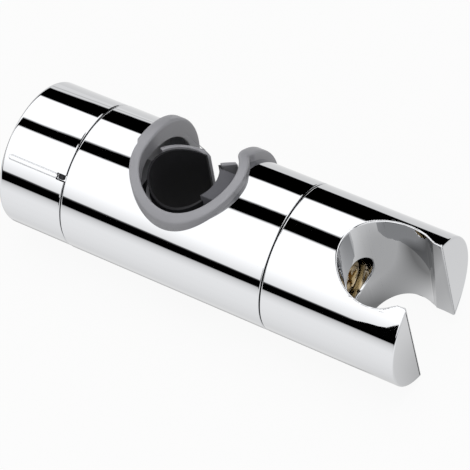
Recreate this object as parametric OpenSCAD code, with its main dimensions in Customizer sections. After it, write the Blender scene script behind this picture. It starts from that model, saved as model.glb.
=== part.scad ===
// Shower rail slider: a chromed barrel that clips round a riser rail from behind,
// with a clamp knob on one end and a tilting cradle for the hand shower on the other.
// Millimetres. Z is the rail's axis and points up, X runs along the barrel towards
// the cradle, Y points to the open back. The origin is on the rail's axis.

/* [Barrel] */
// Outside diameter of the barrel
barrel_d = 40; // [38:0.5:44]
// Length of the fixed body between its two seams
body_l = 59.5; // [57:0.5:70]
// Wall of the chromed body tube
shell_wall = 2.2; // [1.8:0.1:2.6]
// Small chamfer on the edges beside the seams
seam_edge = 0.35; // [0.2:0.05:0.6]
// Open seam between two turning pieces
seam_gap = 0.3; // [0.3:0.05:0.5]
// Width of the two keying ribs inside each end of the tube
rib_w = 2.4; // [1.6:0.2:3.2]
// Height of the keying ribs
rib_h = 0.9; // [0.6:0.1:1.2]
// Length of the keying ribs
rib_l = 7; // [4:0.5:8]

/* [Rail opening] */
// Largest rail that the opening takes
rail_max_d = 25; // [24:0.5:26]
// Radial room round the largest rail
rail_max_clear = 0.1; // [0.1:0.05:0.3]
// Distance of the snap lip at the back from the opening's middle
lip_side = 8.4; // [7.5:0.1:10]
// Radius that blends the round opening into that lip
throat_r = 5; // [4:0.5:8]
// Wall of the grey liner where it passes through the tube
liner_wall = 1.2; // [1:0.1:1.6]
// Width of the liner's flange round the opening
flange_w = 2.6; // [2:0.1:3.2]
// How far the flange stands out of the tube at the top
flange_h = 2.3; // [1.5:0.1:2.8]
// How far it stands out of the tube at the bottom
flange_low = 0.3; // [0.2:0.1:1]
// How far the liner's lip reaches inside the tube
lip_in = 0.6; // [0.4:0.1:1]
// Fitting gap between fixed pieces that are pressed together
fit_gap = 0.05; // [0.03:0.01:0.1]

/* [Rail adaptor] */
// Rail that the adaptor grips
rail_d = 18; // [17:0.5:18.5]
// Radial room round that rail before it is clamped
rail_clear = 0.05; // [0.03:0.01:0.1]
// Thickness of the rubber sleeve
sleeve_t = 0.55; // [0.4:0.05:0.7]
// Thickness of the adaptor's grey ring
ring_t = 0.95; // [0.8:0.05:1.2]
// Radius about the barrel that the ring's tall ends follow
rim_r = 17.6; // [16.5:0.1:19]
// How far the rubber sleeve stays below those ends
sleeve_short = 0.8; // [0.5:0.1:1.5]
// Direction of the middle of the ring's slit, from X towards Y
slit_dir = 69; // [60:1:75]
// Angle that the slit takes
slit_angle = 34; // [24:1:40]
// Direction where the ring's tall back wall ends, over the pusher
tall_to = 157; // [130:1:170]
// Height along the rail of the rest of the ring, and of its filler
low_h = 22; // [18:0.5:26]
// Where the filler starts, clockwise from X
filler_from = 75; // [60:1:90]
// Width of the rubber grip block
block_w = 9.6; // [7:0.2:11]
// Height of the grip block along the rail
block_h = 36; // [33:0.5:37]
// Web left behind the grip block
block_web = 1.8; // [1.2:0.1:2.4]
// Thickness of the finger tab at the slit
tab_t = 1.6; // [1.2:0.1:2.2]

/* [Knob] */
// Length of the clamp knob
knob_l = 19.4; // [17:0.2:24]
// How much smaller the knob's radius is than the barrel's
knob_step = 0.1; // [0.05:0.05:0.3]
// Wall of the knob's chromed cap
knob_wall = 1.9; // [1.5:0.1:2.3]
// Thickness of the cap's end
knob_end = 2.2; // [1.8:0.1:3]
// Radius of the rounded outer edge of the cap
knob_round = 1.2; // [0.8:0.1:1.8]
// Length of the raised pointer bar
bar_l = 15.2; // [10:0.2:16]
// Width of the pointer bar
bar_w = 1.5; // [1:0.1:2.5]
// How far the pointer bar stands out
bar_h = 0.3; // [0.2:0.05:0.5]
// Direction of the pointer bar, forward from straight up
bar_dir = 43; // [0:1:60]
// Length of the small notch at the knob's seam
notch_l = 2.6; // [1.5:0.1:3.5]
// Width of that notch
notch_w = 1.9; // [1:0.1:2.5]

/* [Clamp drive] */
// Radius of the drive screw's smooth journal
journal_r = 4; // [3.5:0.1:4.5]
// Running fit, radial
run_fit = 0.05; // [0.02:0.01:0.09]
// Outside radius of the drive screw's thread
thread_r = 3.5; // [3:0.1:3.8]
// Radius of the drive screw's flange
screw_flange_r = 7.2; // [6.5:0.1:7.6]
// Thickness of that flange
screw_flange_t = 2; // [1.5:0.1:2.5]
// Width across the square end that turns with the knob
square_w = 6.6; // [5:0.2:7]
// Radius of the guide's neck inside the knob
neck_r = 9; // [8.5:0.1:9.5]
// Length of the guide's neck
neck_l = 5.6; // [5:0.1:6]
// Thickness of the guide's web between neck and pocket
guide_web = 2.4; // [2:0.1:3]
// Length of the pocket that the pusher slides in
pocket_l = 6; // [5:0.1:6.5]
// Width of the pusher, across the barrel
pusher_w = 10; // [9:0.2:11]
// Height of the pusher, along the rail
pusher_h = 17; // [14:0.5:20]
// Width and depth of the grease grooves along the pusher
groove_w = 1; // [0.6:0.1:1.4]
// Distance of those grooves from the pusher's ends
groove_in = 2; // [1.4:0.1:3]
// Thickness of the rubber pad on the pusher
pad_t = 1.3; // [1:0.1:1.8]
// Wall of the pusher behind its pad
pusher_wall = 0.6; // [0.4:0.1:1]
// Share of the pusher's length that its brass nut takes
nut_share = 0.42; // [0.3:0.02:0.5]
// Diameter of the nut
nut_d = 9; // [8.6:0.1:9.4]
// Axial travel of the pusher
clamp_travel = 1.5; // [1:0.1:1.8]
// Thickness of the thrust washer
thrust_t = 0.8; // [0.5:0.1:1]
// Thickness of the retaining clip
clip_t = 0.8; // [0.6:0.1:1]
// Radial width of the retaining clip
clip_w = 1.9; // [1.5:0.1:2.2]
// Section diameter of the knob's friction ring
oring_d = 1.8; // [1.5:0.1:2]
// Radius of the fixing screw's thread
fixing_r = 1.95; // [1.5:0.05:2]
// Depth of the fixing screw's thread in the drive screw
fixing_l = 7; // [5:0.5:8]
// Radius of the fixing screw's head
fixing_head_r = 3.3; // [3:0.1:3.6]
// Height of the fixing screw's head
fixing_head_h = 1.7; // [1.4:0.1:2]
// Room between that head and the knob's end
fixing_room = 0.7; // [0.4:0.1:1]
// Thickness of the fixing screw's washer
fixing_washer_t = 0.7; // [0.5:0.1:0.9]

/* [Cradle] */
// Length of the cradle
cradle_l = 37.6; // [36:0.2:40]
// Tilt at which the cradle is stored, top towards the front
cradle_tilt = 7; // [0:1:30]
// Distance from the cradle's seam to the axis of its cone
cone_x = 27.4; // [26:0.2:29]
// Radius of the cone at the top of the barrel
cone_top_r = 12.06; // [11.6:0.1:12.6]
// Radius of the cone at the bottom of the barrel
cone_low_r = 10.4; // [10:0.1:10.8]
// Width of the slot that lets the hose in
hose_slot_w = 18.5; // [16:0.5:19]
// Width of the small chamfer round the prongs' end faces
prong_edge = 0.4; // [0.2:0.1:0.8]
// Radial room round the spigot that centres the cradle in the tube
spigot_clear = 0.3; // [0.3:0.05:0.5]
// Length of that spigot
spigot_l = 2.6; // [2:0.1:3.2]

/* [Pivot] */
// Radius of the screw's counterbore
pivot_hole_r = 6.4; // [6:0.1:6.8]
// Depth of solid floor under the counterbore, from the seam
pivot_floor = 8.6; // [7:0.2:9.4]
// Radius of the pivot screw's shoulder
shoulder_r = 3.4; // [3:0.1:3.8]
// Radius of the pivot screw's thread
pivot_thread_r = 2.5; // [2:0.1:2.8]
// Length of thread in the insert
pivot_thread_l = 6.6; // [5:0.2:7]
// Radius of the pivot screw's head
pivot_head_r = 5.2; // [4.8:0.1:5.6]
// Height of the pivot screw's head
pivot_head_h = 2.8; // [2.4:0.1:3.2]
// Thickness of the brass washer
pivot_washer_t = 0.8; // [0.6:0.1:1]
// Wire of the friction spring
spring_wire_d = 1.1; // [0.9:0.05:1.3]
// Turns of the friction spring
spring_turns = 2; // [1:1:2]
// Thickness of the pivot block
block_l = 7.6; // [7:0.1:8]
// Wall of the brass insert
insert_wall = 1.6; // [1.2:0.1:2]
// Thickness of the friction disc
disc_t = 1.5; // [1.2:0.1:1.8]
// Outer radius of the friction disc
disc_r = 14; // [12:0.5:15]

/* [Hidden] */
$fn = 96;

chrome = "silver";
grey = "darkgray";
rubber = "dimgray";
brass = "goldenrod";
white = "gainsboro";
steel = "lightslategray";
// Moving pieces clear fixed ones by this much
move_gap = 0.3;
// Cutting tools run past the faces that they cut by this much
over = 1;

barrel_r = barrel_d / 2;
tube_r = barrel_r - shell_wall;
bore_r = rail_max_d / 2 + rail_max_clear;
grip_r = rail_d / 2 + rail_clear;
ring_in_r = grip_r + sleeve_t + fit_gap;
ring_out_r = ring_in_r + ring_t;
// The ring lies against the opening's knob side, so the opening's middle is off the rail's axis
open_x = bore_r - ring_out_r - fit_gap;
body_x0 = open_x - body_l / 2;
body_x1 = open_x + body_l / 2;
// Middle of the blend between the round opening and the snap lip
throat_x = lip_side + throat_r;
throat_y = sqrt(pow(bore_r + throat_r, 2) - pow(throat_x, 2));
tall = 2 * barrel_r + 2 * flange_h + 2 * over;
// The flange's outside is a cylinder whose axis lies above the barrel's
flange_out_r = barrel_r + (flange_h + flange_low) / 2;
flange_z = (flange_h - flange_low) / 2;

knob_r = barrel_r - knob_step;
knob_in_r = knob_r - knob_wall;
knob_x1 = body_x0 - seam_gap;
knob_x0 = knob_x1 - knob_l;
core_r = knob_in_r - fit_gap;
core_x0 = knob_x0 + knob_end + fit_gap;

guide_r = tube_r - fit_gap;
guide_x0 = body_x0 + seam_edge;
clip_r = journal_r + clip_w;
clip_pocket_l = clip_t + 2 * move_gap;
web_x1 = guide_x0 + guide_web;
pocket_x0 = web_x1 + clip_pocket_l;
pocket_x1 = pocket_x0 + pocket_l;
neck_x0 = guide_x0 - neck_l;
thrust_x0 = neck_x0 - thrust_t;
screw_flange_x1 = thrust_x0 - move_gap;
screw_flange_x0 = screw_flange_x1 - screw_flange_t;
square_x0 = core_x0 + fixing_room + fixing_head_h + fixing_washer_t + over;
square_l = screw_flange_x0 - square_x0;

pad_face_r = ring_out_r + move_gap;
pad_x0 = -pad_face_r - pad_t;
pusher_x0 = pocket_x0 + clamp_travel + move_gap;
nut_x0 = pusher_x0 + over;
nut_t = nut_share * (pad_x0 - pusher_x0);
screw_tip = pad_x0 - pusher_wall - clamp_travel - move_gap;

cradle_x0 = body_x1 + seam_gap;
cradle_x1 = cradle_x0 + cradle_l;
cone_axis = cradle_x0 + cone_x;
spigot_r = tube_r - spigot_clear;
spigot_x0 = cradle_x0 - spigot_l;
block_x1 = spigot_x0 - 2 * move_gap;
block_x0 = block_x1 - block_l;
floor_x = cradle_x0 + pivot_floor;
washer_x0 = floor_x + move_gap;
spring_x0 = washer_x0 + pivot_washer_t;
spring_pitch = spring_wire_d;
spring_x1 = spring_x0 + spring_turns * spring_pitch;
insert_r = pivot_thread_r + insert_wall;
insert_x0 = block_x1 - pivot_thread_l;
disc_x1 = spigot_x0 - move_gap;
disc_x0 = disc_x1 - disc_t;

// Cylinder along the barrel from x0 to x1
module along_x(r, x0, x1) {
    translate([x0, 0, 0]) rotate([0, 90, 0]) cylinder(r = r, h = x1 - x0);
}

// Tube along the barrel
module tube_x(ro, ri, x0, x1) {
    difference() {
        along_x(ro, x0, x1);
        along_x(ri, x0 - over, x1 + over);
    }
}

// Tube that the liner is cut from, thick at the top and thin at the bottom
module liner_tube(ri) {
    difference() {
        translate([0, 0, flange_z]) along_x(flange_out_r, body_x0, body_x1);
        along_x(ri, body_x0 - over, body_x1 + over);
    }
}

// Turned solid along the barrel with a chamfer at each end
module turned(r, x0, x1, edge0, edge1) {
    translate([x0, 0, 0]) rotate([0, 90, 0]) rotate_extrude()
        polygon([[0, 0], [r - edge0, 0], [r, edge0], [r, x1 - x0 - edge1],
                 [r - edge1, x1 - x0], [0, x1 - x0]]);
}

// Cylinder along the rail, centred on the barrel
module along_z(r, h, x = 0) {
    translate([x, 0, 0]) cylinder(r = r, h = h, center = true);
}

// Rail opening seen from above: a round hole that runs out at the back past a snap lip
module opening_outline(grow) {
    circle(r = bore_r + grow);
    translate([-bore_r - grow, 0]) square([bore_r + lip_side + 2 * grow, tall]);
    difference() {
        polygon([[0, 0], [throat_x, throat_y], [lip_side + grow, throat_y]]);
        translate([throat_x, throat_y]) circle(r = throat_r - grow);
    }
}

// The same, grown all round, as a solid along the rail
module opening_prism(grow) {
    translate([open_x, 0, 0])
        linear_extrude(height = tall, center = true)
            opening_outline(grow);
}

// Pie slice along the rail between two angles less than a half turn apart
module pie(r, from, to) {
    middle = (from + to) / 2;
    corner = r / cos((to - from) / 2);
    linear_extrude(height = tall, center = true)
        polygon([[0, 0], [r * cos(from), r * sin(from)], [corner * cos(middle), corner * sin(middle)],
                 [r * cos(to), r * sin(to)]]);
}

// Keying ribs or, with a gap, the notches that they slide in
module keys(x0, x1, gap = 0) {
    w = rib_w + 2 * gap;
    for (side = [-1, 1])
        translate([x0, -w / 2, side > 0 ? tube_r - rib_h - gap : -tube_r - over])
            cube([x1 - x0, w, rib_h + gap + over]);
}

// Slit of the adaptor and of its sleeve
module slit() {
    pie(barrel_r, slit_dir - slit_angle / 2, slit_dir + slit_angle / 2);
}

// Tube with the rail opening cut through it, ribbed inside at both ends
module body_shell() {
    color(chrome) difference() {
        union() {
            difference() {
                turned(barrel_r, body_x0, body_x1, seam_edge, seam_edge);
                along_x(tube_r, body_x0 - over, body_x1 + over);
            }
            intersection() {
                along_x(tube_r + fit_gap, body_x0, body_x1);
                union() {
                    keys(guide_x0, guide_x0 + rib_l);
                    keys(block_x1 - rib_l, block_x1);
                }
            }
        }
        opening_prism(liner_wall + fit_gap);
    }
}

// Liner that clips into the opening: flange outside, lip through the wall
module rail_liner() {
    color(grey) difference() {
        union() {
            intersection() {
                liner_tube(barrel_r);
                opening_prism(flange_w);
            }
            intersection() {
                liner_tube(tube_r - lip_in);
                opening_prism(liner_wall);
            }
        }
        opening_prism(0);
    }
}

// Split ring with a tall back wall, a filler towards the cradle, a seat for the grip block and a finger tab
module rail_adaptor() {
    seat_x = open_x + bore_r - fit_gap - block_web;
    tab_dir = slit_dir - slit_angle / 2;
    color(grey) difference() {
        intersection() {
            union() {
                along_z(ring_out_r, low_h);
                intersection() {
                    along_z(ring_out_r, tall);
                    pie(barrel_r, slit_dir, tall_to);
                }
                intersection() {
                    along_z(bore_r - fit_gap, low_h, open_x);
                    pie(barrel_r, -filler_from, tab_dir);
                }
                intersection() {
                    along_z(bore_r - fit_gap, tall, open_x);
                    rotate(tab_dir) translate([ring_in_r, -tab_t, -tall / 2]) cube([barrel_r, tab_t, tall]);
                }
            }
            along_x(rim_r, -barrel_r, barrel_r);
        }
        along_z(ring_in_r, tall + over);
        slit();
        translate([0, -block_w / 2 - fit_gap, -tall / 2])
            cube([seat_x, block_w + 2 * fit_gap, tall]);
    }
}

// Rubber sleeve bonded inside the ring
module grip_sleeve() {
    color(rubber) difference() {
        intersection() {
            along_z(grip_r + sleeve_t, tall);
            along_x(rim_r - sleeve_short, -barrel_r, barrel_r);
        }
        along_z(grip_r, tall + over);
        slit();
        translate([0, -block_w / 2 - fit_gap, -tall / 2])
            cube([barrel_r, block_w + 2 * fit_gap, tall]);
    }
}

// Rubber block that the rail is pressed against
module grip_block() {
    seat_x = open_x + bore_r - 2 * fit_gap - block_web;
    color(rubber) difference() {
        translate([0, -block_w / 2, -block_h / 2]) cube([seat_x, block_w, block_h]);
        along_z(grip_r, tall);
    }
}

// Plug in the knob's end of the tube: journal bore, clip pocket and the pusher's slideway
module screw_guide() {
    color(white) difference() {
        union() {
            along_x(guide_r, guide_x0, pocket_x1);
            along_x(neck_r, neck_x0, guide_x0 + over);
        }
        along_x(journal_r + run_fit, neck_x0 - over, web_x1 + over);
        along_x(clip_r + move_gap, web_x1, pocket_x0 + over);
        translate([pocket_x0, -pusher_w / 2 - move_gap, -pusher_h / 2 - move_gap])
            cube([pocket_l + over, pusher_w + 2 * move_gap, pusher_h + 2 * move_gap]);
        keys(guide_x0 - over, guide_x0 + rib_l + over, fit_gap);
        rotate([0, 90, 0]) translate([0, 0, guide_x0 - oring_d - move_gap])
            rotate_extrude() translate([neck_r, 0]) circle(d = oring_d);
    }
}

// Washer between the guide's neck and the screw's flange
module thrust_washer() {
    color(white) tube_x(screw_flange_r, journal_r + move_gap, thrust_x0, neck_x0);
}

// Chromed cap with its pointer bar
module knob_cap() {
    color(chrome) difference() {
        union() {
            translate([knob_x0, 0, 0]) rotate([0, 90, 0]) rotate_extrude() {
                square([knob_r - knob_round, knob_l - seam_edge]);
                translate([0, knob_round])
                    square([knob_r, knob_l - knob_round - seam_edge]);
                intersection() {
                    translate([knob_r - knob_round, knob_round]) circle(r = knob_round);
                    square([knob_r, knob_round + over]);
                }
                polygon([[0, knob_l - 2 * seam_edge], [knob_r, knob_l - 2 * seam_edge],
                         [knob_r, knob_l - seam_edge], [knob_r - seam_edge, knob_l], [0, knob_l]]);
            }
            intersection() {
                rotate([bar_dir, 0, 0])
                    translate([knob_x0 + (knob_l - notch_l) / 2, 0, 0])
                        linear_extrude(height = tall) pointer_outline();
                along_x(knob_r + bar_h, knob_x0, knob_x1);
            }
        }
        along_x(knob_in_r, knob_x0 + knob_end, knob_x1 + over);
        rotate([bar_dir, 0, 0])
            translate([knob_x1 - notch_l, -notch_w / 2, knob_r - knob_wall / 2])
                cube([notch_l + over, notch_w, knob_wall]);
    }
}

// Bar with round ends, along the barrel
module pointer_outline() {
    run = bar_l - bar_w;
    square([run, bar_w], center = true);
    for (side = [-1, 1]) translate([side * run / 2, 0]) circle(d = bar_w);
}

// Moulded core pressed into the cap: hub with a square socket and a sleeve round the neck
module knob_core() {
    sleeve_in_r = neck_r + oring_d / 2 + move_gap;
    sleeve_out_r = sleeve_in_r + knob_wall;
    web_x = screw_flange_x0;
    color(white) difference() {
        union() {
            along_x(core_r, core_x0, web_x);
            tube_x(core_r, core_r - knob_wall, web_x - over, knob_x1 - over);
            tube_x(sleeve_out_r, sleeve_in_r, web_x - over, guide_x0 - 2 * move_gap);
            for (turn = [0 : 60 : 300]) rotate([turn, 0, 0])
                translate([web_x - over, -knob_wall / 2, sleeve_out_r - fit_gap])
                    cube([knob_x1 - web_x - over, knob_wall, core_r - knob_wall - sleeve_out_r + 2 * fit_gap]);
        }
        translate([square_x0 - fit_gap, -square_w / 2 - fit_gap, -square_w / 2 - fit_gap])
            cube([square_l + over + fit_gap, square_w + 2 * fit_gap, square_w + 2 * fit_gap]);
        along_x(fixing_r + fit_gap, core_x0 - over, square_x0 + over);
        along_x(fixing_head_r + move_gap, core_x0 - over, square_x0 - over);
    }
}

// Drive screw: square end, flange, journal with a clip groove, and the thread
module drive_screw() {
    color(steel) difference() {
        union() {
            translate([square_x0, -square_w / 2, -square_w / 2])
                cube([square_l + over, square_w, square_w]);
            along_x(screw_flange_r, screw_flange_x0, screw_flange_x1);
            along_x(journal_r, screw_flange_x1 - over, pocket_x0);
            along_x(thread_r, pocket_x0 - over, screw_tip);
        }
        tube_x(clip_r + over, journal_r - clip_w / 2, web_x1 + move_gap, web_x1 + move_gap + clip_t);
        along_x(fixing_r + fit_gap, square_x0 - over, square_x0 + fixing_l);
    }
}

// Open ring sprung into the screw's groove behind the guide's web
module retaining_clip() {
    clip_in_r = journal_r - clip_w / 2 + fit_gap;
    clip_x0 = web_x1 + move_gap + fit_gap / 2;
    color(steel) difference() {
        tube_x(clip_r, clip_in_r, clip_x0, clip_x0 + clip_t - fit_gap);
        translate([clip_x0 - over, -clip_in_r / 2, 0]) cube([clip_t + 2 * over, clip_in_r, barrel_r]);
    }
}

// Screw that holds the knob's core on the drive screw, before the cap is pressed on
module fixing_screw() {
    head_x1 = square_x0 - over - fixing_washer_t;
    head_x0 = head_x1 - fixing_head_h;
    color(steel) difference() {
        union() {
            along_x(fixing_head_r, head_x0, head_x1);
            along_x(fixing_r, head_x1 - over / 2, square_x0 + fixing_l - over);
        }
        for (turn = [0, 90]) rotate([turn, 0, 0])
            translate([head_x0 - over, -fixing_head_h / 4, -fixing_r])
                cube([over + fixing_head_h / 2, fixing_head_h / 2, 2 * fixing_r]);
    }
}

// Washer under the fixing screw's head
module fixing_washer() {
    color(steel) tube_x(fixing_head_r + fit_gap, fixing_r + 2 * fit_gap,
                        square_x0 - over - fixing_washer_t, square_x0 - over);
}

// Rubber ring in the neck's groove that steadies the knob
module friction_ring() {
    color(rubber) rotate([0, 90, 0]) translate([0, 0, guide_x0 - oring_d - move_gap])
        rotate_extrude() translate([neck_r, 0]) circle(d = oring_d - 2 * fit_gap);
}

// Block that slides in the guide and presses the ring
module pusher() {
    color(white) difference() {
        translate([pusher_x0, -pusher_w / 2, -pusher_h / 2])
            cube([pad_x0 - pusher_x0, pusher_w, pusher_h]);
        along_x(thread_r + move_gap, pusher_x0 - over, pad_x0 - pusher_wall);
        along_x(nut_d / 2 + fit_gap, pusher_x0 - over, nut_x0 + nut_t + fit_gap);
        for (side = [-1, 1])
            translate([pusher_x0 - over, -pusher_w / 2 - over, side * (pusher_h / 2 - groove_in) - groove_w / 2])
                cube([pad_x0 - pusher_x0 + over - pad_t, over + groove_w, groove_w]);
    }
}

// Round brass nut pressed into the pusher
module pusher_nut() {
    color(brass) difference() {
        along_x(nut_d / 2, nut_x0, nut_x0 + nut_t);
        along_x(thread_r + run_fit, nut_x0 - over, nut_x0 + nut_t + over);
    }
}

// Pad on the pusher's nose, hollowed to the ring
module pusher_pad() {
    color(rubber) difference() {
        translate([pad_x0, -pusher_w / 2, -pusher_h / 2]) cube([pad_face_r + pad_t, pusher_w, pusher_h]);
        along_z(pad_face_r, tall);
        translate([0, -barrel_r, -tall / 2]) cube([barrel_r, barrel_d, tall]);
    }
}

// Plug in the cradle's end of the tube
module pivot_block() {
    color(white) difference() {
        along_x(guide_r, block_x0, block_x1);
        along_x(insert_r + fit_gap, insert_x0 - fit_gap, block_x1 + over);
        along_x(pivot_thread_r + fit_gap, block_x0 - over, block_x1 + over);
        tube_x(disc_r + fit_gap, insert_r + over, disc_x0 - fit_gap, block_x1 + over);
        keys(block_x1 - rib_l - over, block_x1 + over, fit_gap);
        for (turn = [30 : 60 : 330]) rotate([turn, 0, 0])
            translate([0, 0, disc_r - over]) along_x(over * 2, block_x0 - over, block_x0 + block_l / 2);
    }
}

// Threaded brass insert
module pivot_insert() {
    color(brass) tube_x(insert_r, pivot_thread_r + fit_gap, insert_x0, block_x1);
}

// Disc that holds the cradle's tilt by friction
module friction_disc() {
    color(rubber) tube_x(disc_r, insert_r + over + fit_gap, disc_x0, disc_x1);
}

// Cradle with a tapered seat for the hand shower, open to the hose at its end
module cradle() {
    lean = atan((cone_top_r - cone_low_r) / barrel_d);
    mid_r = (cone_top_r + cone_low_r) / 2;
    reach = tan(lean) * tall / 2;
    color(chrome) rotate([cradle_tilt, 0, 0]) difference() {
        union() {
            turned(barrel_r, cradle_x0, cradle_x1, seam_edge, prong_edge);
            along_x(spigot_r, spigot_x0, cradle_x0 + over);
        }
        translate([cone_axis, 0, -tall / 2])
            cylinder(r1 = mid_r - reach, r2 = mid_r + reach, h = tall);
        translate([cone_axis, -hose_slot_w / 2, -tall / 2])
            cube([cradle_l, hose_slot_w, tall]);
        along_x(shoulder_r + run_fit, spigot_x0 - over, floor_x + over);
        along_x(pivot_hole_r, floor_x, cone_axis);
    }
}

// Shouldered pivot screw
module pivot_screw() {
    head_x1 = spring_x1 + pivot_head_h;
    color(brass) difference() {
        union() {
            along_x(pivot_thread_r, insert_x0 + over / 2, block_x1 + over);
            along_x(shoulder_r, block_x1, spring_x1);
            turned(pivot_head_r, spring_x1, head_x1, 0, pivot_head_h / 3);
        }
        for (turn = [0, 90]) rotate([turn, 0, 0])
            translate([head_x1 - pivot_head_h / 2, -pivot_head_h / 5, -pivot_thread_r - over / 2])
                cube([pivot_head_h, pivot_head_h / 2.5, 2 * pivot_thread_r + over]);
    }
}

// Washer on the cradle's floor
module pivot_washer() {
    color(brass) tube_x(pivot_hole_r - move_gap, shoulder_r + fit_gap, washer_x0, spring_x0);
}

// Friction spring under the head: closed rings, drawn turn by turn
module pivot_spring() {
    color(brass) for (turn = [0 : spring_turns - 1])
        translate([spring_x0 + (turn + 0.5) * spring_pitch, 0, 0]) rotate([0, 90, 0])
            rotate_extrude() translate([shoulder_r + spring_wire_d / 2 + fit_gap, 0])
                circle(d = spring_wire_d - fit_gap);
}

body_shell();
rail_liner();
rail_adaptor();
grip_sleeve();
grip_block();
screw_guide();
thrust_washer();
knob_cap();
knob_core();
drive_screw();
retaining_clip();
fixing_screw();
fixing_washer();
friction_ring();
pusher();
pusher_nut();
pusher_pad();
pivot_block();
pivot_insert();
friction_disc();
cradle();
pivot_screw();
pivot_washer();
pivot_spring();
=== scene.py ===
import math

import bmesh
import bpy
from mathutils import Matrix, Vector


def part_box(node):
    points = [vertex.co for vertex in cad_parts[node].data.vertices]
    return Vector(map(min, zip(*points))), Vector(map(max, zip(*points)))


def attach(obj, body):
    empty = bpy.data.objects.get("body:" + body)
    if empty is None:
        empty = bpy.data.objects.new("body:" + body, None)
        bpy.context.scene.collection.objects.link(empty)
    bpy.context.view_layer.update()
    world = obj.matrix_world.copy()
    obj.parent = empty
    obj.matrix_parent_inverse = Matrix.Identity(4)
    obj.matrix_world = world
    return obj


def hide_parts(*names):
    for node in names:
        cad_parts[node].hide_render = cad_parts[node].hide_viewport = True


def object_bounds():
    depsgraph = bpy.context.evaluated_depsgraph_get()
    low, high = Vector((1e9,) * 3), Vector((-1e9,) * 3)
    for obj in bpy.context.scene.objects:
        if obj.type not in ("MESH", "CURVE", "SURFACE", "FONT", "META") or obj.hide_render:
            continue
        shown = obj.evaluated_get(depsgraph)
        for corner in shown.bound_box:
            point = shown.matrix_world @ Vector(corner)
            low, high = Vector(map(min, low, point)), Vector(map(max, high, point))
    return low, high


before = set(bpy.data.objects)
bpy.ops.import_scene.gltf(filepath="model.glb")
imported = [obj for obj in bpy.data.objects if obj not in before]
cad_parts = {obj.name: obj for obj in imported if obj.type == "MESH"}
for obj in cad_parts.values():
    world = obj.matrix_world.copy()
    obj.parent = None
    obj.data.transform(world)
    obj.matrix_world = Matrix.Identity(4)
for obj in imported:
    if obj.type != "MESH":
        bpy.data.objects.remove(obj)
cad_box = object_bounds()

# Camera and studio. The slider is seen from above, from the cradle's front corner.
# It lies on a pale sheet under a broad white tent with dark gaps in it, which are
# what draws the black lines along the chrome.
MM = 0.001
CAMERA_TARGET = (12.37, 0.28, -2.28)
CAMERA_DISTANCE = 574.7
CAMERA_LENS = 171.1
FLOOR_EDGE_BACK = 180
FLOOR_EDGE_FRONT = 900
FLOOR_HALF_WIDTH = 900
SHEET = "B8B8B7"
# Brightness of the tent against the angle about the barrel, from up towards the back
TENT = ((-180, 1.0), (-97, 1.0), (-96, 0), (-84.5, 0), (-83, 1.3), (-75, 1.5), (-62, 1.8), (-2, 1.8), (-0.6, 0),
        (19.2, 0), (20.6, 1.8), (61.2, 1.8), (62.6, 0), (100.2, 0), (101.4, 1.1), (104, 1.1), (104.6, 0.7),
        (105.6, 0.7), (106.2, 1.1), (140, 1.0), (180, 1.0))
# Degrees that the dark gaps lean by towards the knob, against the same angle
LEAN = ((-180, 0), (-96.5, 1), (-81, -3), (-40, 0), (-7, 6), (7, 12.5), (55.5, 6.5), (81, 20), (120, 5), (180, 0))
# Brightness of the sheet as the chrome sees it, against the distance in mm behind the rail
SHEET_SEEN = ((-400, 0), (-325, 0), (-275, 0.7), (-155, 1.05), (-84, 1.3), (-56, 1.28), (-39, 1.22), (-29, 1.12),
              (-21, 0.95), (30, 0.9), (400, 1.0))


def tone(hex_code):
    """Linear colour of an sRGB hex value"""
    parts = [int(hex_code[i:i + 2], 16) / 255 for i in (0, 2, 4)]
    return [c / 12.92 if c <= 0.04045 else ((c + 0.055) / 1.055) ** 2.4 for c in parts] + [1]


def add(tree, kind, inputs=None, links=None, **settings):
    """Add a node with its settings, input values and links"""
    made = tree.nodes.new(kind)
    for name, value in settings.items():
        setattr(made, name, value)
    for name, value in (inputs or {}).items():
        made.inputs[name].default_value = value
    for name, socket in (links or {}).items():
        tree.links.new(socket, made.inputs[name])
    return made


def ramp(tree, stops, low, high, top, source):
    """Colour ramp from pairs of place and value, for places from low to high and values up to top"""
    made = add(tree, "ShaderNodeValToRGB", {}, {0: source})
    elements = made.color_ramp.elements
    while len(elements) > 1:
        elements.remove(elements[0])
    for count, (place, value) in enumerate(stops):
        stop = elements[0] if count == 0 else elements.new((place - low) / (high - low))
        stop.position = (place - low) / (high - low)
        stop.color = [value / top] * 3 + [1]
    return made


def clear():
    """Deselect everything"""
    bpy.ops.object.select_all(action="DESELECT")


view = (Matrix.Rotation(math.radians(7), 3, "X") @ Matrix.Rotation(math.radians(46.043), 3, "Z")
        @ Matrix.Rotation(math.radians(31.947), 3, "X") @ Matrix.Rotation(math.radians(-18.878), 3, "Z"))
clear()
bpy.ops.object.camera_add(location=(Vector(CAMERA_TARGET) + view @ Vector((0, 0, CAMERA_DISTANCE))) * MM,
                          rotation=view.to_euler())
camera = bpy.context.object
camera.data.lens = CAMERA_LENS
camera.data.sensor_width = 36
camera.data.clip_start = 0.01
bpy.context.scene.camera = camera
bpy.context.scene.view_settings.view_transform = "Standard"

clear()
bpy.ops.mesh.primitive_plane_add(size=1, location=(0, (FLOOR_EDGE_BACK - FLOOR_EDGE_FRONT) / 2 * MM, cad_box[0].z))
floor = bpy.context.object
floor.name = "floor"
floor.scale = (2 * FLOOR_HALF_WIDTH * MM, (FLOOR_EDGE_BACK + FLOOR_EDGE_FRONT) * MM, 1)
bpy.ops.object.transform_apply(location=True, rotation=True, scale=True)

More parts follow.
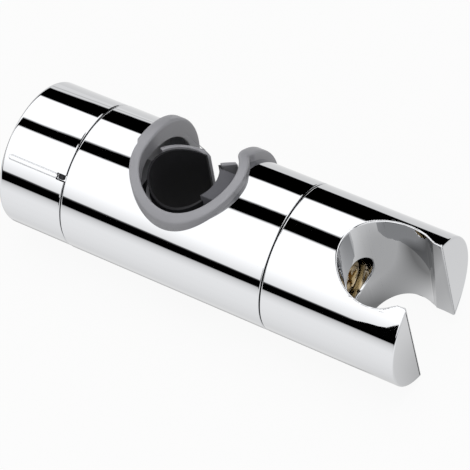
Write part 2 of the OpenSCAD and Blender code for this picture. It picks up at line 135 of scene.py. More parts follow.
# Matt white card, which the camera sees nearly white with a faint shadow. The chrome sees painted light on it in
# place of its own shading: bright in front, black past its far edge, and a painted shadow under the barrel and the
# seat
sheet = bpy.data.materials.new("matt_card")
sheet.use_nodes = True
tree = sheet.node_tree
tree.nodes.clear()
path = add(tree, "ShaderNodeLightPath")
side = add(tree, "ShaderNodeNewGeometry")
spot = add(tree, "ShaderNodeTexCoord")
matt = add(tree, "ShaderNodeBsdfDiffuse", {"Color": tone(SHEET)})
white = add(tree, "ShaderNodeEmission", {"Strength": 1})
clear_card = add(tree, "ShaderNodeBsdfTransparent")
across_card = add(tree, "ShaderNodeSeparateXYZ", {}, {0: spot.outputs["Object"]})
depth = add(tree, "ShaderNodeMapRange", {1: -0.4, 2: 0.4}, {0: across_card.outputs["Y"]})
strip = ramp(tree, SHEET_SEEN, -400, 400, 1.3, depth.outputs[0])
# Painted shadow for the chrome: the sheet's glow dims near the seat and in a strip under the barrel, in place of the
# object's real shadow
away = add(tree, "ShaderNodeVectorMath", {1: (0.062, -0.002, cad_box[0].z)}, {0: spot.outputs["Object"]},
           operation="DISTANCE")
painted_seat_shadow = add(tree, "ShaderNodeMapRange", {1: 0.006, 2: 0.022, 3: 0.85, 4: 1.35}, {0: away.outputs["Value"]},
          interpolation_type="SMOOTHSTEP")
beside = add(tree, "ShaderNodeMath", {}, {0: across_card.outputs["Y"]}, operation="ABSOLUTE")
beside = add(tree, "ShaderNodeMapRange", {1: 0.013, 2: 0.018, 3: 0.35, 4: 1}, {0: beside.outputs[0]})
beyond = add(tree, "ShaderNodeMapRange", {1: 0.052, 2: 0.059, 3: 0.35, 4: 1}, {0: across_card.outputs["X"]})
painted_barrel_shadow = add(tree, "ShaderNodeMath", {}, {0: beside.outputs[0], 1: beyond.outputs[0]}, operation="MAXIMUM")
shown = add(tree, "ShaderNodeMath", {}, {0: painted_seat_shadow.outputs[0], 1: painted_barrel_shadow.outputs[0]}, operation="MULTIPLY")
painted_sheet_for_chrome = add(tree, "ShaderNodeEmission", {}, {"Color": strip.outputs[0], "Strength": shown.outputs[0]})
seen = add(tree, "ShaderNodeMath", {}, {0: path.outputs["Is Camera Ray"], 1: path.outputs["Is Transmission Ray"]},
           operation="MAXIMUM")
share = add(tree, "ShaderNodeMath", {1: 0.93}, {0: seen.outputs[0]}, operation="MULTIPLY")
card = add(tree, "ShaderNodeMixShader", {}, {0: share.outputs[0], 1: matt.outputs[0], 2: white.outputs[0]})
card = add(tree, "ShaderNodeMixShader", {}, {0: path.outputs["Is Glossy Ray"], 1: card.outputs[0],
                                             2: painted_sheet_for_chrome.outputs[0]})
both = add(tree, "ShaderNodeMixShader", {}, {0: side.outputs["Backfacing"], 1: card.outputs[0],
                                             2: clear_card.outputs[0]})
add(tree, "ShaderNodeOutputMaterial", {}, {"Surface": both.outputs[0]})
floor.data.materials.append(sheet)

tent = bpy.data.worlds.new("white_tent")
tent.use_nodes = True
bpy.context.scene.world = tent
tree = tent.node_tree
tree.nodes.clear()
way = add(tree, "ShaderNodeTexCoord")
parts = add(tree, "ShaderNodeSeparateXYZ", {}, {0: way.outputs["Generated"]})
about = add(tree, "ShaderNodeMath", {}, {0: parts.outputs["Y"], 1: parts.outputs["Z"]}, operation="ARCTAN2")
turn = add(tree, "ShaderNodeMapRange", {1: -math.pi, 2: math.pi}, {0: about.outputs[0]})
lean = ramp(tree, [(place, shift + 5) for place, shift in LEAN], -180, 180, 25, turn.outputs[0])
shift = add(tree, "ShaderNodeMapRange", {3: -5 / 360, 4: 20 / 360}, {0: lean.outputs[0]})
left = add(tree, "ShaderNodeMapRange", {1: -0.47, 2: -0.37, 3: 1, 4: 0}, {0: parts.outputs["X"]})
turn = add(tree, "ShaderNodeMath", {}, {0: shift.outputs[0], 1: left.outputs[0], 2: turn.outputs[0]},
           operation="MULTIPLY_ADD")
bands = ramp(tree, TENT, -180, 180, 1.8, turn.outputs[0])
path = add(tree, "ShaderNodeLightPath")
power = add(tree, "ShaderNodeMapRange", {3: 0.95, 4: 1.8}, {0: path.outputs["Is Glossy Ray"]})
lit = add(tree, "ShaderNodeBackground", {}, {"Color": bands.outputs[0], "Strength": power.outputs[0]})
plain = add(tree, "ShaderNodeBackground", {"Color": (1, 1, 1, 1), "Strength": 1})
seen = add(tree, "ShaderNodeMath", {}, {0: path.outputs["Is Camera Ray"], 1: path.outputs["Is Transmission Ray"]},
           operation="MAXIMUM")
shown = add(tree, "ShaderNodeMixShader", {}, {0: seen.outputs[0], 1: lit.outputs[0], 2: plain.outputs[0]})
add(tree, "ShaderNodeOutputWorld", {}, {"Surface": shown.outputs[0]})

clear()
bpy.ops.object.light_add(type="AREA", location=(0.12, 0.02, 0.9))
lamp = bpy.context.object
lamp.data.shape = "DISK"
lamp.data.size = 0.7
lamp.data.energy = 5.5
lamp.rotation_euler = (Vector(lamp.location)).to_track_quat("Z", "Y").to_euler()
lamp.visible_glossy = False

# Black card close in front of the cradle, which only the front prong's chrome sees
clear()
outline = [(25.5, 8), (73, 8), (73, 60), (36.6, 60), (35.6, 36.5), (33.6, 31), (30.4, 27.3), (25.5, 17.5)]
bpy.ops.mesh.primitive_circle_add(vertices=len(outline), fill_type="NGON")
screen = bpy.context.object
screen.name = "black_card"
order = [screen.data.loops[i].vertex_index for i in screen.data.polygons[0].loop_indices]
for index, (x, z) in zip(order, outline):
    screen.data.vertices[index].co = Vector((x, -108, z)) * MM
for kind in ("camera", "diffuse", "transmission", "shadow"):
    setattr(screen, "visible_" + kind, False)
black = bpy.data.materials.new("black_velvet")
black.use_nodes = True
tree = black.node_tree
tree.nodes.clear()
dark = add(tree, "ShaderNodeBsdfDiffuse", {"Color": tone("050505")})
add(tree, "ShaderNodeOutputMaterial", {}, {"Surface": dark.outputs[0]})
screen.data.materials.append(black)


# Barrel: a moulded tube in bright chrome plate, open right through for the rail.
# Only the small rounded edges beside its two seams break its plain skin.
BARREL_R = 20
TUBE_R = 17.8
BODY_X0, BODY_X1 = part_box("body_shell")[0].x / MM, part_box("body_shell")[1].x / MM
OPEN_X = (BODY_X0 + BODY_X1) / 2
SEAM_ROUND = 0.4
SIDES = 288
CHROME = "C6C7C9"


def settle():
    """Apply the place, turn and size of the object just made, and hand it over"""
    bpy.ops.object.transform_apply(location=True, rotation=True, scale=True)
    return bpy.context.object


def rod(radius, x0, x1, sides=SIDES):
    """Round bar along the barrel"""
    clear()
    bpy.ops.mesh.primitive_cylinder_add(vertices=sides, radius=radius * MM, depth=(x1 - x0) * MM,
                                        location=((x0 + x1) / 2 * MM, 0, 0), rotation=(0, math.pi / 2, 0))
    return settle()


def post(radius, height, x=0, sides=SIDES, top=None):
    """Round bar along the rail, or a taper with a radius at its top"""
    clear()
    top = radius if top is None else top
    bpy.ops.mesh.primitive_cone_add(vertices=sides, radius1=radius * MM, radius2=top * MM, depth=height * MM,
                                    location=(x * MM, 0, 0))
    return settle()


def box(low, high):
    """Block between two corners"""
    clear()
    middle = [(a + b) / 2 * MM for a, b in zip(low, high)]
    bpy.ops.mesh.primitive_cube_add(size=1, location=middle)
    bpy.context.object.scale = [(b - a) * MM for a, b in zip(low, high)]
    return settle()


def cut(piece, tool, how="DIFFERENCE"):
    """Cut a tool out of a piece, or keep or add what they share, and take the tool away"""
    clear()
    piece.select_set(True)
    bpy.context.view_layer.objects.active = piece
    step = piece.modifiers.new("cut", "BOOLEAN")
    step.object = tool
    step.operation = how
    step.solver = "EXACT"
    bpy.ops.object.modifier_apply(modifier=step.name)
    bpy.data.objects.remove(tool)
    return piece


def round_edges(piece, width, steps=3, corner=30, weld=0.03):
    """Weld stray points and round every edge that is sharper than a corner in degrees"""
    clear()
    piece.select_set(True)
    bpy.context.view_layer.objects.active = piece
    bpy.ops.object.mode_set(mode="EDIT")
    bpy.ops.mesh.select_all(action="SELECT")
    bpy.ops.mesh.remove_doubles(threshold=weld * MM)
    bpy.ops.object.mode_set(mode="OBJECT")
    step = piece.modifiers.new("round", "BEVEL")
    step.width = width * MM
    step.segments = steps
    step.limit_method = "ANGLE"
    step.angle_limit = math.radians(corner)
    step.use_clamp_overlap = False
    step.miter_outer = "MITER_SHARP"
    bpy.ops.object.modifier_apply(modifier=step.name)
    return piece


def soften_end(piece, end, size, steps):
    """Round the edges of a bar's flat end"""
    clear()
    piece.select_set(True)
    bpy.context.view_layer.objects.active = piece
    bpy.ops.object.mode_set(mode="EDIT")
    bpy.ops.mesh.select_mode(type="EDGE")
    bpy.ops.mesh.select_all(action="DESELECT")
    inside = bmesh.from_edit_mesh(piece.data)
    for edge in inside.edges:
        edge.select_set(all(abs(v.co.x / MM - end) < 0.01 for v in edge.verts))
    bmesh.update_edit_mesh(piece.data)
    bpy.ops.mesh.bevel(offset=size * MM, segments=steps, profile=0.5)
    bpy.ops.object.mode_set(mode="OBJECT")
    return piece


def true_skin(piece, skins, rounding, snap=True):
    """Lay the points on the true rounded surface and give it that surface's normals"""
    mesh = piece.data
    normals = []
    for point in mesh.vertices:
        p = point.co / MM
        r = rounding(p) if callable(rounding) else rounding
        normal = None
        for again in range(2):
            pull = Vector((0, 0, 0))
            for skin in skins:
                found = skin(p)
                if found and found[0] + r > 0:
                    pull += found[1] * (found[0] + r)
            if pull.length < 1e-6:
                break
            normal = pull.normalized()
            off = pull.length - r
            if not snap or abs(off) > 0.6 * r + 0.02:
                break
            p = p - normal * off
            point.co = p * MM
        normals.append(normal)
    mesh.update()
    laid = []
    for face in mesh.polygons:
        face.use_smooth = True
        for corner in face.loop_indices:
            normal = normals[mesh.loops[corner].vertex_index]
            close = 0.97 if face.area > 0.5 * MM ** 2 else 0.55
            laid.append(normal if normal and normal.dot(face.normal) > close else face.normal.copy())
    mesh.normals_split_custom_set(laid)
    return piece


def across(p):
    """Distance from the barrel's axis and the direction away from it"""
    r = math.hypot(p.y, p.z)
    return r, Vector((0, p.y / r, p.z / r)) if r > 1e-6 else Vector((0, 0, 1))


# Bright nickel and chrome plate on polished ABS: a nearly perfect cool mirror, with
# faint wiping haze that only softens the edges of what it reflects
chrome = bpy.data.materials.new("chrome_plated_abs")
chrome.use_nodes = True
tree = chrome.node_tree
tree.nodes.clear()
place = add(tree, "ShaderNodeTexCoord")
haze = add(tree, "ShaderNodeTexNoise", {"Scale": 90, "Detail": 3}, {"Vector": place.outputs["Object"]})
rough = add(tree, "ShaderNodeMapRange", {1: 0.3, 2: 0.75, 3: 0.015, 4: 0.035}, {0: haze.outputs[0]})
# Flow of the moulding under the plate, about 8 mm from wave to wave
flow = add(tree, "ShaderNodeTexNoise", {"Scale": 120, "Detail": 1}, {"Vector": place.outputs["Object"]})
wave = add(tree, "ShaderNodeBump", {"Strength": 0.05, "Distance": 0.0002}, {"Height": flow.outputs[0]})
plate = add(tree, "ShaderNodeBsdfPrincipled", {"Base Color": tone(CHROME), "Metallic": 1},
            {"Roughness": rough.outputs[0], "Normal": wave.outputs[0]})
add(tree, "ShaderNodeOutputMaterial", {}, {"Surface": plate.outputs[0]})

barrel = rod(BARREL_R, BODY_X0, BODY_X1)
barrel.name = "barrel_skin"
soften_end(barrel, BODY_X0, SEAM_ROUND, 8)
soften_end(barrel, BODY_X1, SEAM_ROUND, 8)
cut(barrel, rod(TUBE_R, BODY_X0 - 1, BODY_X1 + 1))
cut(barrel, post(13.85, 60, OPEN_X))
cut(barrel, box((OPEN_X - 13.85, 0, -30), (OPEN_X + 9.65, 30, 30)))


def barrel_outside(p):
    r, out = across(p)
    return r - BARREL_R, out


def barrel_inside(p):
    r, out = across(p)
    return (TUBE_R - r, -out) if r < TUBE_R + 0.5 else None


true_skin(barrel, [barrel_outside, barrel_inside,
                   lambda p: (p.x - BODY_X1, Vector((1, 0, 0))) if across(p)[0] > 18.5 else None,
                   lambda p: (BODY_X0 - p.x, Vector((-1, 0, 0))) if across(p)[0] > 18.5 else None], SEAM_ROUND)
barrel.data.materials.append(chrome)
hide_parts("body_shell")
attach(barrel, "body")


# Grey collar that lines the rail's way through the barrel: a saddle flange, proud at the
# top and thin underneath, and a lip through the wall, moulded in one and clipped in.
# Its inside is round, and at the back one side runs straight out and the other is a snap lip.
COLLAR_OUT = 22.3
FLANGE_R, FLANGE_Z = 21.3, 1.0
ARM_W = {"straight": 3.3, "snap": 3.5}
COLLAR_W = 2.6
LIP_T = 1.2
LIP_IN = 17.2
BORE_R = 12.6
LIP_SIDE = 8.4
THROAT_R = 5
INNER_ROUND, OUTER_ROUND = 0.8, 0.45
throat = Vector((LIP_SIDE + THROAT_R, math.sqrt((BORE_R + THROAT_R) ** 2 - (LIP_SIDE + THROAT_R) ** 2)))

# Satin acetal or ABS from a spark-eroded mould: soft grey with a fine even grain
satin = bpy.data.materials.new("satin_grey_abs")
satin.use_nodes = True
tree = satin.node_tree
tree.nodes.clear()
place = add(tree, "ShaderNodeTexCoord")
# Grain of the mould, about 0.3 mm
grain = add(tree, "ShaderNodeTexNoise", {"Scale": 3300, "Detail": 2}, {"Vector": place.outputs["Object"]})
flow = add(tree, "ShaderNodeTexNoise", {"Scale": 160, "Detail": 2}, {"Vector": place.outputs["Object"]})
shade = add(tree, "ShaderNodeValToRGB", {}, {0: flow.outputs[0]})
shade.color_ramp.elements[0].color = tone("7C7C80")
shade.color_ramp.elements[1].color = tone("8A8A8E")
bump = add(tree, "ShaderNodeBump", {"Strength": 0.25, "Distance": 0.00004}, {"Height": grain.outputs[0]})
rough = add(tree, "ShaderNodeMapRange", {1: 0.3, 2: 0.7, 3: 0.36, 4: 0.46}, {0: flow.outputs[0]})
skin = add(tree, "ShaderNodeBsdfPrincipled", {"IOR": 1.5},
           {"Base Color": shade.outputs[0], "Roughness": rough.outputs[0], "Normal": bump.outputs[0]})
add(tree, "ShaderNodeOutputMaterial", {}, {"Surface": skin.outputs[0]})


def arc(middle, radius, start, end, steps):
    """Points on a circle between two angles in degrees"""
    turns = [math.radians(start + (end - start) * i / steps) for i in range(steps + 1)]
    return [(middle[0] + radius * math.cos(t), middle[1] + radius * math.sin(t)) for t in turns]


# Section of the collar: how far out from the opening, and how far from the barrel's axis
section = [(0, LIP_IN + 0.2), (0, 19.5), (0, COLLAR_OUT - INNER_ROUND)]
section += arc((INNER_ROUND, COLLAR_OUT - INNER_ROUND), INNER_ROUND, 180, 90, 6)[1:]
section += arc((COLLAR_W - OUTER_ROUND, COLLAR_OUT - OUTER_ROUND), OUTER_ROUND, 90, 0, 5)
section += [(COLLAR_W, BARREL_R - 0.05), (LIP_T, BARREL_R - 0.05), (LIP_T, LIP_IN + 0.2), (LIP_T - 0.2, LIP_IN),
            (0.2, LIP_IN)]


def collar_spot(station, out, height, side):
    """Place of a point of the section at a station along the opening's edge, above or below"""
    kind, along = station
    share = max(height - BARREL_R, 0) / (COLLAR_OUT - BARREL_R)
    # The flange grows wider towards its two arms
    grown = {"round": max(math.sin(along), 0) if math.cos(along) < 0 else 0, "straight": 1, "snap": 1,
             "blend": 1 - (along - math.pi) / meet}[kind]
    wide = ARM_W["straight" if kind in ("round", "straight") else "snap"]
    if out > LIP_T:
        out += (out - LIP_T) * grown * (wide - COLLAR_W) / (COLLAR_W - LIP_T)
    # It also stands highest where the arms bend over to the back
    around = {"round": (BORE_R * math.sin(along)) / BARREL_R, "blend": throat.y / BARREL_R,
              "straight": math.sin(along * math.pi / 2), "snap": math.sin(0.6 + along * (math.pi / 2 - 0.6))}[kind]
    arch = 2 * around * math.sqrt(max(1 - around ** 2, 0)) if side > 0 and around > 0 else 0
    share *= 1 + 0.2 * arch
    middle = share * FLANGE_Z
    radius = min(height, BARREL_R) + share * (FLANGE_R - BARREL_R)
    if kind == "round":
        x, y = (BORE_R + out) * math.cos(along), (BORE_R + out) * math.sin(along)
        return x, y, middle + side * math.sqrt(radius ** 2 - y ** 2)
    if kind == "blend":
        x, y = (throat.x + (THROAT_R - out) * math.cos(along), throat.y + (THROAT_R - out) * math.sin(along))
        return x, y, middle + side * math.sqrt(radius ** 2 - y ** 2)
    low = math.asin((throat.y if kind == "snap" else 0) / radius)
    turn = low + along * (math.pi / 2 - low)
    x = LIP_SIDE + out if kind == "snap" else -BORE_R - out
    return x, radius * math.sin(turn), middle + side * radius * math.cos(turn)


meet = math.atan2(throat.y, throat.x)
stations = [("straight", 1 - i / 28) for i in range(28)]
stations += [("round", math.pi + (meet + math.pi) * i / 120) for i in range(120)]
stations += [("blend", meet + math.pi - meet * i / 16) for i in range(16)]
stations += [("snap", i / 20) for i in range(21)]
points, faces = [], []
loop = [(station, 1) for station in stations] + [(station, -1) for station in stations[-2:0:-1]]
for station, side in loop:
    for out, height in section:
        x, y, z = collar_spot(station, out, height, side)
        points.append(((OPEN_X + x) * MM, y * MM, z * MM))
for i in range(len(loop)):
    for j in range(len(section)):
        k, m = (i + 1) % len(loop), (j + 1) % len(section)
        n = len(section)
        faces.append((i * n + j, i * n + m, k * n + m, k * n + j))
mesh = bpy.data.meshes.new("collar")
mesh.from_pydata(points, [], faces)
collar = bpy.data.objects.new("collar", mesh)
bpy.context.scene.collection.objects.link(collar)


def smooth(piece, angle, outward=False):
    """Smooth a piece except at its sharp edges, with its faces turned outwards where asked"""
    clear()
    piece.select_set(True)
    bpy.context.view_layer.objects.active = piece
    if outward:
        bpy.ops.object.mode_set(mode="EDIT")
        bpy.ops.mesh.select_all(action="SELECT")
        bpy.ops.mesh.normals_make_consistent(inside=False)
        bpy.ops.object.mode_set(mode="OBJECT")
    bpy.ops.object.shade_smooth_by_angle(angle=math.radians(angle))


smooth(collar, 40, True)
collar.data.materials.append(satin)
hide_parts("rail_liner")
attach(collar, "body")


# Adaptor for a thinner rail: a split ring of the same grey, tall at the back and low in
# front, moulded with a filler that backs it against the collar and a finger tab.
RING_OUT, RING_IN = 10.6, 9.65
RIM_R = 17.6
LOW_H = 22
SLIT_FROM, SLIT_TO = 52, 86
TALL_TO = 157


def wedge(start, end, radius=40, height=60):
    """Pie slice along the rail between two angles in degrees"""
    clear()
    middle = math.radians((start + end) / 2)
    half = math.radians((end - start) / 2)
    corner = radius / math.cos(half)
    bpy.ops.mesh.primitive_circle_add(vertices=4, radius=MM, fill_type="NGON")
    made = bpy.context.object
    spots = [(0, 0), (radius * math.cos(middle - half), radius * math.sin(middle - half)),
             (corner * math.cos(middle), corner * math.sin(middle)),
             (radius * math.cos(middle + half), radius * math.sin(middle + half))]
    order = [made.data.loops[i].vertex_index for i in made.data.polygons[0].loop_indices]
    for index, spot in zip(order, spots):
        made.data.vertices[index].co = (spot[0] * MM, spot[1] * MM, -height / 2 * MM)
    bpy.ops.object.mode_set(mode="EDIT")
    bpy.ops.mesh.select_all(action="SELECT")
    bpy.ops.mesh.extrude_region_move(TRANSFORM_OT_translate={"value": (0, 0, height * MM)})
    bpy.ops.mesh.select_all(action="SELECT")
    bpy.ops.mesh.normals_make_consistent(inside=False)
    bpy.ops.object.mode_set(mode="OBJECT")
    return settle()


ring = post(RING_OUT, LOW_H, 0, 160)
back = post(RING_OUT + 0.3, 50, 0, 160)
cut(back, wedge(69, TALL_TO), "INTERSECT")
cut(ring, back, "UNION")
filler = post(12.55, LOW_H, OPEN_X, 160)
cut(filler, wedge(-75, SLIT_FROM), "INTERSECT")
cut(ring, filler, "UNION")
tab = box((RING_IN, -1.6, -25), (24, 0, 25))
tab.rotation_euler = (0, 0, math.radians(SLIT_FROM))
clear()
tab.select_set(True)
bpy.context.view_layer.objects.active = tab
settle()
cut(tab, post(12.55, 60, OPEN_X, 160), "INTERSECT")
cut(ring, tab, "UNION")
cut(ring, post(RING_IN, 60, 0, 160))
cut(ring, wedge(SLIT_FROM, SLIT_TO))
cut(ring, box((0, -4.85, -30), (12.7, 4.85, 30)))
cut(ring, rod(RIM_R, -30, 30, 128), "INTERSECT")
# The tall wall's corner beside the slit is rounded off
CORNER_R, CORNER_IN = 6, 5.2
corner_x, corner_z = RING_IN * math.cos(math.radians(SLIT_TO)) - CORNER_IN, 14.3 - CORNER_IN
corner = box((corner_x + 0.5, 8, corner_z + 0.5), (corner_x + CORNER_R + 1, 12, corner_z + CORNER_R + 3))
keep = rod(CORNER_R, -20, 20, 96)
keep.rotation_euler = (0, 0, math.pi / 2)
clear()
keep.select_set(True)
bpy.context.view_layer.objects.active = keep
settle()
keep.location = (corner_x * MM, 0, corner_z * MM)
settle()
cut(ring, cut(corner, keep))
ring.name = "adaptor_ring"
# Its C-shaped faces are split first, so that the rounding leaves no face across the bore
clear()
ring.select_set(True)
bpy.context.view_layer.objects.active = ring
step = ring.modifiers.new("split", "TRIANGULATE")
bpy.ops.object.modifier_apply(modifier=step.name)
round_edges(ring, 0.25, 3, 40, 0.06)
smooth(ring, 35)
ring.data.materials.append(satin)
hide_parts("rail_adaptor")
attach(ring, "body")


# Grip rubber: the sleeve in the ring, the block behind it, the pusher's pad and the
# inner friction rings. Black moulded rubber that grips the rail without marking it.
# Fine even skin from a matt mould, with hardly any shine
rubber = bpy.data.materials.new("moulded_black_rubber")
rubber.use_nodes = True
tree = rubber.node_tree
tree.nodes.clear()
place = add(tree, "ShaderNodeTexCoord")
# Pores of the rubber skin, about 0.25 mm
pores = add(tree, "ShaderNodeTexNoise", {"Scale": 4000, "Detail": 3}, {"Vector": place.outputs["Object"]})
bloom = add(tree, "ShaderNodeTexNoise", {"Scale": 220, "Detail": 2}, {"Vector": place.outputs["Object"]})
shade = add(tree, "ShaderNodeValToRGB", {}, {0: bloom.outputs[0]})
shade.color_ramp.elements[0].color = tone("131315")
shade.color_ramp.elements[1].color = tone("1D1D20")
bump = add(tree, "ShaderNodeBump", {"Strength": 0.3, "Distance": 0.00004}, {"Height": pores.outputs[0]})
skin = add(tree, "ShaderNodeBsdfPrincipled", {"Roughness": 0.62, "IOR": 1.5, "Specular IOR Level": 0.3},
           {"Base Color": shade.outputs[0], "Normal": bump.outputs[0]})
add(tree, "ShaderNodeOutputMaterial", {}, {"Surface": skin.outputs[0]})


def dress(node, material):
    """Give a carried-over node its material"""
    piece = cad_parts[node]
    for place_in in piece.material_slots:
        place_in.material = material
    if not piece.material_slots:
        piece.data.materials.append(material)


grip = box((0, -4.8, -18), (12.7, 4.8, 18))
cut(grip, post(9.05, 60, 0, 160))
grip.name = "grip_wedge"
round_edges(grip, 0.3, 3, 40, 0.02)
smooth(grip, 35)
# The block gets a lighter copy of the sleeve's black rubber: painted light on the block, which shows lighter than the
# sleeve in shade
lighter_painted_rubber = rubber.copy()
lighter_painted_rubber.name = "rubber_painted_lighter"
shades = next(node for node in lighter_painted_rubber.node_tree.nodes if node.type == "VALTORGB")
shades.color_ramp.elements[0].color = tone("434347")
shades.color_ramp.elements[1].color = tone("525257")
grip.data.materials.append(lighter_painted_rubber)
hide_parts("grip_block")
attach(grip, "body")
for node in ("grip_sleeve", "pusher_pad", "friction_ring", "friction_disc"):
    dress(node, rubber)


# Clamp knob: a chromed cap with a rounded end, a raised bar that marks its turn and a
# small notch at the seam. It is plated like the barrel and pressed on a moulded core.
KNOB_R = 19.9
KNOB_X0, KNOB_X1 = -47.5, -28.1
KNOB_ROUND = 1.2
BAR_DIR = 43
BAR_MID = -37.9
BAR_L, BAR_W, BAR_H = 15.2, 1.5, 0.45
knob = rod(KNOB_R, KNOB_X0, KNOB_X1)
soften_end(knob, KNOB_X0, KNOB_ROUND, 10)
soften_end(knob, KNOB_X1, SEAM_ROUND, 8)
cut(knob, rod(18, KNOB_X0 + 2.2, KNOB_X1 + 1))
notch = box((KNOB_X1 - 2.6, -0.95, KNOB_R - 0.95), (KNOB_X1 + 2, 0.95, KNOB_R + 2))
round_edges(notch, 0.3, 4)
notch.rotation_euler = (math.radians(BAR_DIR), 0, 0)
clear()
notch.select_set(True)
bpy.context.view_layer.objects.active = notch
settle()
cut(knob, notch)
knob.name = "knob_cap_skin"
true_skin(knob, [lambda p: (across(p)[0] - KNOB_R, across(p)[1]),
                 lambda p: (18 - across(p)[0], -across(p)[1]) if across(p)[0] < 18.3 and p.x > KNOB_X0 + 2 else None,
                 lambda p: (KNOB_X0 - p.x, Vector((-1, 0, 0))),
                 lambda p: (p.x - KNOB_X1, Vector((1, 0, 0)))],
          lambda p: KNOB_ROUND if p.x < -38 else SEAM_ROUND)
knob.data.materials.append(chrome)
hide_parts("knob_cap")
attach(knob, "knob")

# Black rubber block set in the notch: painted shade, a dark piece that stands in for the shade inside the notch
notch_shade_block = box((KNOB_X1 - 2.1, -0.6, 17.9), (KNOB_X1 - 0.6, 0.6, KNOB_R - 0.3))
round_edges(notch_shade_block, 0.2, 3)
notch_shade_block.rotation_euler = (math.radians(BAR_DIR), 0, 0)
clear()
notch_shade_block.select_set(True)
bpy.context.view_layer.objects.active = notch_shade_block
settle()
smooth(notch_shade_block, 35)
notch_shade_block.name = "knob_notch_painted_shade"
notch_shade_block.data.materials.append(rubber)
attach(notch_shade_block, "knob")

marker = rod(KNOB_R + BAR_H, BAR_MID - 9, BAR_MID + 9)
cut(marker, rod(KNOB_R - 0.25, BAR_MID - 10, BAR_MID + 10))
stadium = post(BAR_W / 2, 30, 0, 48)
stadium.location = [c * MM for c in (BAR_MID - BAR_L / 2 + BAR_W / 2, 0, 25)]
settle()
other = post(BAR_W / 2, 30, 0, 48)
other.location = [c * MM for c in (BAR_MID + BAR_L / 2 - BAR_W / 2, 0, 25)]
settle()
cut(stadium, other, "UNION")
cut(stadium, box((BAR_MID - BAR_L / 2 + BAR_W / 2, -BAR_W / 2, 10), (BAR_MID + BAR_L / 2 - BAR_W / 2, BAR_W / 2, 40)),
    "UNION")
cut(marker, stadium, "INTERSECT")
round_edges(marker, 0.35, 4, 40, 0.01)


def bar_side(p):
    along = max(abs(p.x - BAR_MID) - (BAR_L - BAR_W) / 2, 0)
    away = Vector((math.copysign(along, p.x - BAR_MID), p.y, 0))
    return (away.length - BAR_W / 2, away.normalized()) if away.length > 1e-6 else None


true_skin(marker, [lambda p: (across(p)[0] - KNOB_R - BAR_H, across(p)[1]), bar_side], 0.35)
marker.rotation_euler = (math.radians(BAR_DIR), 0, 0)
clear()
marker.select_set(True)
bpy.context.view_layer.objects.active = marker
settle()
marker.name = "knob_pointer"
marker.data.materials.append(chrome)
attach(marker, "knob")


# Cradle: a chromed end piece that turns on the barrel, with a tapered seat for the hand
# shower's cone and a slot for its hose. Moulded in one, every edge softly rounded.
CRADLE_X0, CRADLE_X1 = 32.0, 69.6
CRADLE_TILT = 7
CONE_X = 59.4
CONE_TOP, CONE_LOW = 12.06, 10.4
SLOT_HALF = 9.25
HOLE_R = 6.4
FLOOR_X = 40.6
CRADLE_ROUND = 0.55
taper = (CONE_TOP - CONE_LOW) / 40
lean = math.cos(math.atan(taper))
cone_mid = (CONE_TOP + CONE_LOW) / 2
cradle = rod(BARREL_R, CRADLE_X0, CRADLE_X1)
soften_end(cradle, CRADLE_X0, SEAM_ROUND, 8)
cut(cradle, post(cone_mid - taper * 25, 50, CONE_X, SIDES, cone_mid + taper * 25))
cut(cradle, box((CONE_X, -SLOT_HALF, -30), (CRADLE_X1 + 5, SLOT_HALF, 30)))
cut(cradle, rod(HOLE_R, FLOOR_X, CONE_X, 128))
round_edges(cradle, CRADLE_ROUND, 4, 40, 0.05)


def seat(p):
    x, y = p.x - CONE_X, p.y
    r = math.hypot(x, y)
    if r < 1e-6:
        return None
    return (cone_mid + taper * p.z - r) * lean, Vector((-x / r, -y / r, taper)) * lean


def screw_hole(p):
    r, out = across(p)
    return (HOLE_R - r, -out) if FLOOR_X + 0.01 < p.x < CONE_X else None


true_skin(cradle, [barrel_outside, seat, screw_hole,
                   lambda p: (SLOT_HALF - abs(p.y), Vector((0, -math.copysign(1, p.y), 0)))
                   if p.x > CONE_X else None,
                   lambda p: (p.x - CRADLE_X1, Vector((1, 0, 0))),
                   lambda p: (CRADLE_X0 - p.x, Vector((-1, 0, 0)))],
          lambda p: SEAM_ROUND if p.x < 36 else CRADLE_ROUND)
spigot = rod(17.5, 29.4, CRADLE_X0 + 0.4, 128)
clear()
spigot.select_set(True)
cradle.select_set(True)
bpy.context.view_layer.objects.active = cradle
bpy.ops.object.join()
cradle.rotation_euler = (math.radians(CRADLE_TILT), 0, 0)
settle()
cradle.name = "cradle_skin"
cradle.data.materials.append(chrome)
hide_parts("cradle")
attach(cradle, "cradle")


# Pivot screw, washer and spring in the hole of the seat, and the two nuts: turned brass,
# bright where the tool left it, warmer and duller in the corners.
BRASS = "C89B4E"
brass = bpy.data.materials.new("turned_brass")
brass.use_nodes = True
tree = brass.node_tree
tree.nodes.clear()
place = add(tree, "ShaderNodeTexCoord")
tarnish = add(tree, "ShaderNodeTexNoise", {"Scale": 350, "Detail": 4}, {"Vector": place.outputs["Object"]})
shade = add(tree, "ShaderNodeValToRGB", {}, {0: tarnish.outputs[0]})
shade.color_ramp.elements[0].color = tone("94794A")
shade.color_ramp.elements[1].color = tone("C4AE80")
# Turning marks round the screw's axis, 0.2 mm apart
marks = add(tree, "ShaderNodeTexWave", {"Scale": 800, "Distortion": 0.4},
            {"Vector": place.outputs["Object"]}, wave_type="RINGS", rings_direction="X")
bump = add(tree, "ShaderNodeBump", {"Strength": 0.12, "Distance": 0.00003}, {"Height": marks.outputs[0]})
metal = add(tree, "ShaderNodeBsdfPrincipled", {"Metallic": 1, "Roughness": 0.24},
            {"Base Color": shade.outputs[0], "Normal": bump.outputs[0]})
add(tree, "ShaderNodeOutputMaterial", {}, {"Surface": metal.outputs[0]})
for node in ("pivot_washer", "pivot_insert", "pusher_nut"):
    dress(node, brass)

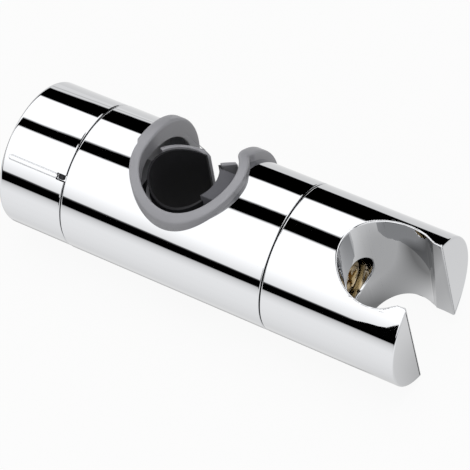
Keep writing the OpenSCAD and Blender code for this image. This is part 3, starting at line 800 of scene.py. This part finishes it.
SCREW_X0, SCREW_X1 = (corner.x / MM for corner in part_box("pivot_screw"))
SPRING_X0, SPRING_X1 = (corner.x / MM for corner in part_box("pivot_spring"))
BLOCK_X1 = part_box("pivot_block")[1].x / MM
head = rod(5.2, SPRING_X1 + 0.05, SCREW_X1, 96)
soften_end(head, SCREW_X1, 1.1, 6)
for turned_by in (0, 90):
    slot = box((SCREW_X1 - 1.4, -0.6, -3), (SCREW_X1 + 1, 0.6, 3))
    slot.rotation_euler = (math.radians(turned_by), 0, 0)
    clear()
    slot.select_set(True)
    bpy.context.view_layer.objects.active = slot
    settle()
    cut(head, slot)
cut(head, rod(3.4, BLOCK_X1, SPRING_X1 + 0.5, 96), "UNION")
cut(head, rod(2.5, SCREW_X0, BLOCK_X1 + 0.5, 64), "UNION")
round_edges(head, 0.12, 2, 40, 0.01)
smooth(head, 35)
head.name = "pivot_screw_turned"
head.data.materials.append(brass)
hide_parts("pivot_screw")
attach(head, "body")

WIRE = 1.05
COIL_R = 3.4 + WIRE / 2 + 0.05
clear()
bpy.ops.mesh.primitive_circle_add(vertices=16, radius=WIRE / 2 * MM, rotation=(math.pi / 2, 0, 0),
                                  location=((SPRING_X0 + WIRE / 2) * MM, 0, COIL_R * MM))
coil = settle()
wind = coil.modifiers.new("wind", "SCREW")
wind.axis = "X"
wind.angle = 2 * math.pi * 1.85
wind.screw_offset = (SPRING_X1 - SPRING_X0 - WIRE) * MM
wind.steps = wind.render_steps = 110
bpy.ops.object.modifier_apply(modifier=wind.name)
bpy.ops.object.mode_set(mode="EDIT")
bpy.ops.mesh.select_all(action="SELECT")
bpy.ops.mesh.fill_holes(sides=0)
bpy.ops.object.mode_set(mode="OBJECT")
smooth(coil, 50, True)
coil.name = "pivot_coil"
coil.data.materials.append(brass)
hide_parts("pivot_spring")
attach(coil, "body")


# Inner mouldings: the plugs in the tube, the knob's core, the pusher and the thrust
# washer, in natural white acetal, smooth and a little translucent.
acetal = bpy.data.materials.new("natural_acetal")
acetal.use_nodes = True
tree = acetal.node_tree
tree.nodes.clear()
place = add(tree, "ShaderNodeTexCoord")
flow = add(tree, "ShaderNodeTexNoise", {"Scale": 180, "Detail": 2}, {"Vector": place.outputs["Object"]})
shade = add(tree, "ShaderNodeValToRGB", {}, {0: flow.outputs[0]})
shade.color_ramp.elements[0].color = tone("D4D3CE")
shade.color_ramp.elements[1].color = tone("E6E5E1")
skin = add(tree, "ShaderNodeBsdfPrincipled", {"Roughness": 0.38, "IOR": 1.48}, {"Base Color": shade.outputs[0]})
add(tree, "ShaderNodeOutputMaterial", {}, {"Surface": skin.outputs[0]})
for node in ("knob_core", "pivot_block", "thrust_washer"):
    dress(node, acetal)
# These two get the grey satin ABS instead of the white acetal: painted shade, for how grey they show inside the tube
# through the opening
for node in ("pusher", "screw_guide"):
    dress(node, satin)


# Steel of the drive: the screw, its clip, and the fixing screw with its washer.
# Zinc-plated turned steel, grey with fine marks round the axis.
steel = bpy.data.materials.new("zinc_plated_steel")
steel.use_nodes = True
tree = steel.node_tree
tree.nodes.clear()
place = add(tree, "ShaderNodeTexCoord")
patch = add(tree, "ShaderNodeTexNoise", {"Scale": 400, "Detail": 3}, {"Vector": place.outputs["Object"]})
shade = add(tree, "ShaderNodeValToRGB", {}, {0: patch.outputs[0]})
shade.color_ramp.elements[0].color = tone("A9ACB0")
shade.color_ramp.elements[1].color = tone("C6C8CB")
marks = add(tree, "ShaderNodeTexWave", {"Scale": 800, "Distortion": 0.3},
            {"Vector": place.outputs["Object"]}, wave_type="RINGS", rings_direction="X")
bump = add(tree, "ShaderNodeBump", {"Strength": 0.15, "Distance": 0.00003}, {"Height": marks.outputs[0]})
metal = add(tree, "ShaderNodeBsdfPrincipled", {"Metallic": 1, "Roughness": 0.3},
            {"Base Color": shade.outputs[0], "Normal": bump.outputs[0]})
add(tree, "ShaderNodeOutputMaterial", {}, {"Surface": metal.outputs[0]})
for node in ("drive_screw", "retaining_clip", "fixing_screw", "fixing_washer"):
    dress(node, steel)
